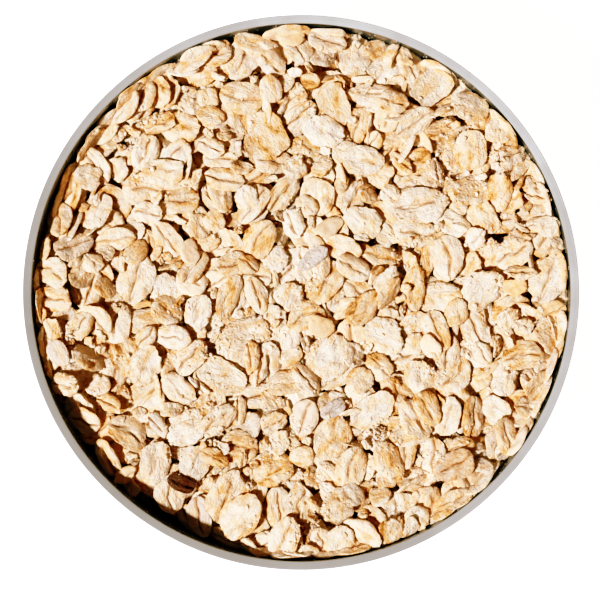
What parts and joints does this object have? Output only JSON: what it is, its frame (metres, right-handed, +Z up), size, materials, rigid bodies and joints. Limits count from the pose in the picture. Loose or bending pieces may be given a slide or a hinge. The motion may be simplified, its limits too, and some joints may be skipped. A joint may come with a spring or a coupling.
{
  "type": "bowl of rolled oats",
  "caption": "Round metal bowl with a flat narrow rim, filled with dry rolled oats to just below the rim.",
  "frame": {"origin": "centre of the flat base, on the surface it stands on", "axes": "+Z up along the bowl's axis; +X and +Y across the round rim"},
  "size_m": [0.134, 0.134, 0.056],
  "materials": {
    "bowl_metal": "satin spun metal with fine concentric turning marks",
    "oat_flakes": "dry rolled oat flakes, matt and floury, cream with tan bran"
  },
  "bodies": {
    "root": {"bowl": "bowl_metal", "oats": "oat_flakes"}
  },
  "joints": []
}
